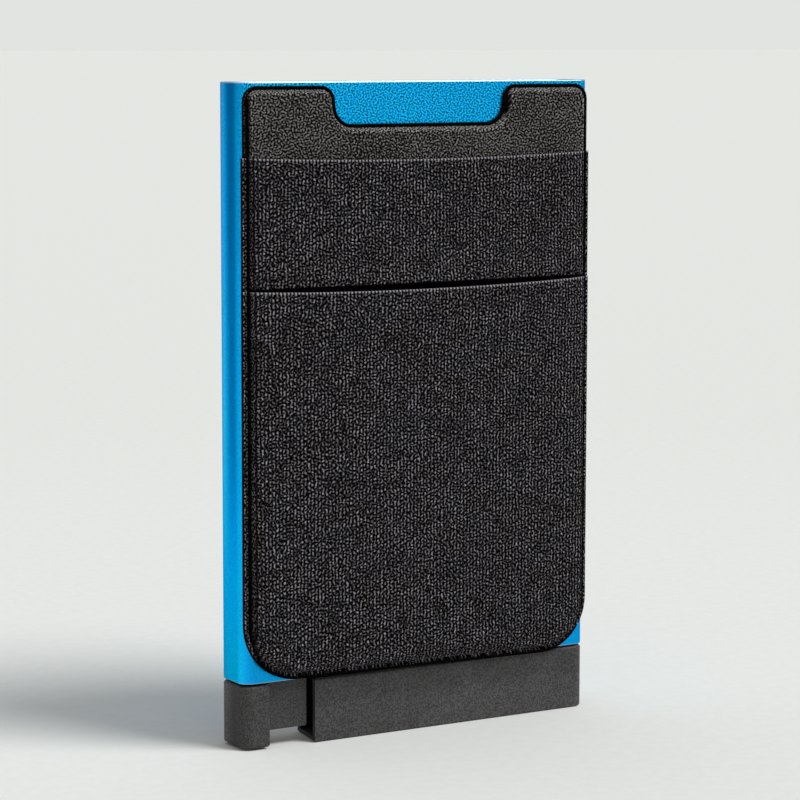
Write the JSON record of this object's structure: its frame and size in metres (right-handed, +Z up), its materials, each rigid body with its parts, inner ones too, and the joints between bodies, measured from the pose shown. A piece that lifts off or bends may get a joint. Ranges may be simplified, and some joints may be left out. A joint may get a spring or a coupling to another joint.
{
  "type": "pop-up card holder",
  "caption": "Slim metal card sleeve on a plastic base, with a corner lever that fans the cards out and a two-slot stretch fabric pocket on its front.",
  "frame": {"origin": "middle of the case's underside, on the base's flat bottom face", "axes": "+Z up along the sleeve, -Y out of the face that carries the pocket, +X to the right as seen from the pocket's side; the lever's handle is at -X"},
  "size_m": [0.063, 0.0102, 0.102],
  "materials": {
    "anodised_sleeve": "bead-blasted and anodised bright blue",
    "black_plastic": "fine matte grain",
    "lever_plastic": "fine matte grain",
    "steel": "turned",
    "felt": "short-pile felt",
    "adhesive": "acrylic tape",
    "backing": "fine-grained leatherette with a pressed edge",
    "stretch_fabric": "fine vertical-rib stretch knit"
  },
  "bodies": {
    "case": {"sleeve": "anodised_sleeve", "base_shell": "black_plastic", "pivot_pin": "steel", "friction_strip_left": "felt", "friction_strip_right": "felt", "adhesive_sheet": "adhesive", "pocket_backing": "backing", "inner_panel": "stretch_fabric", "outer_panel": "stretch_fabric"},
    "lever": {"ejector_lever": "lever_plastic"}
  },
  "joints": [
    {"name": "lever_swing", "type": "hinge", "parent": "case", "child": "lever", "pos_m": [-0.0263, 0, 0.0132], "axis": [0, -1, 0], "range_deg": [0, 34]}
  ]
}
